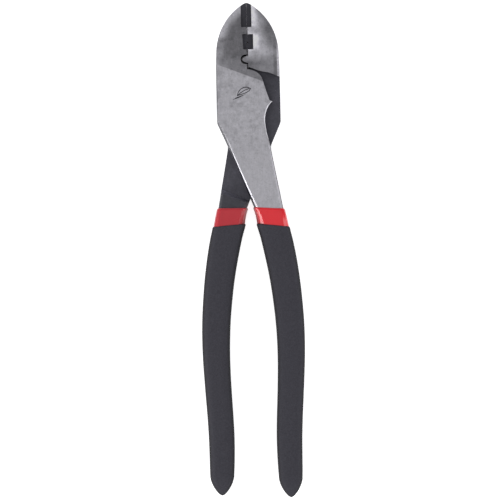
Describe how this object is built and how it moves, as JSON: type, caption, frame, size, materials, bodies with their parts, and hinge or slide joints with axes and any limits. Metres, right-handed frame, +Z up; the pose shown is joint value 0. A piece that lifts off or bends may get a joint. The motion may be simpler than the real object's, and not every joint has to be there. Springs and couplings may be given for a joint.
{
  "type": "crimping and cutting pliers",
  "caption": "Long-handled lap-joint pliers with crimping dies, a wire notch and a nib in a pointed flat nose, and dipped vinyl grips in red and black.",
  "frame": {"origin": "on the pivot axis, in the back face of the joint, which is the plane the tool rests on", "axes": "+Y along the tool towards the nose, +Z up through the joint towards the front face, +X towards the front lever's handle"},
  "size_m": [0.0517, 0.2491, 0.012],
  "materials": {
    "ground_steel": "ground and oxide-darkened",
    "oxide_steel": "black oxide with ground jaws",
    "red_vinyl": "glossy dipped vinyl",
    "black_vinyl": "fine matt dipped vinyl"
  },
  "bodies": {
    "front_half": {"front_lever": "ground_steel", "pivot_rivet": "ground_steel", "front_red_dip": "red_vinyl", "front_black_grip": "black_vinyl"},
    "rear_half": {"rear_lever": "oxide_steel", "rear_red_dip": "red_vinyl", "rear_black_grip": "black_vinyl"}
  },
  "joints": [
    {"name": "pivot", "type": "hinge", "parent": "front_half", "child": "rear_half", "pos_m": [0, 0, 0.006], "axis": [0, 0, -1], "range_deg": [0, 30]}
  ]
}
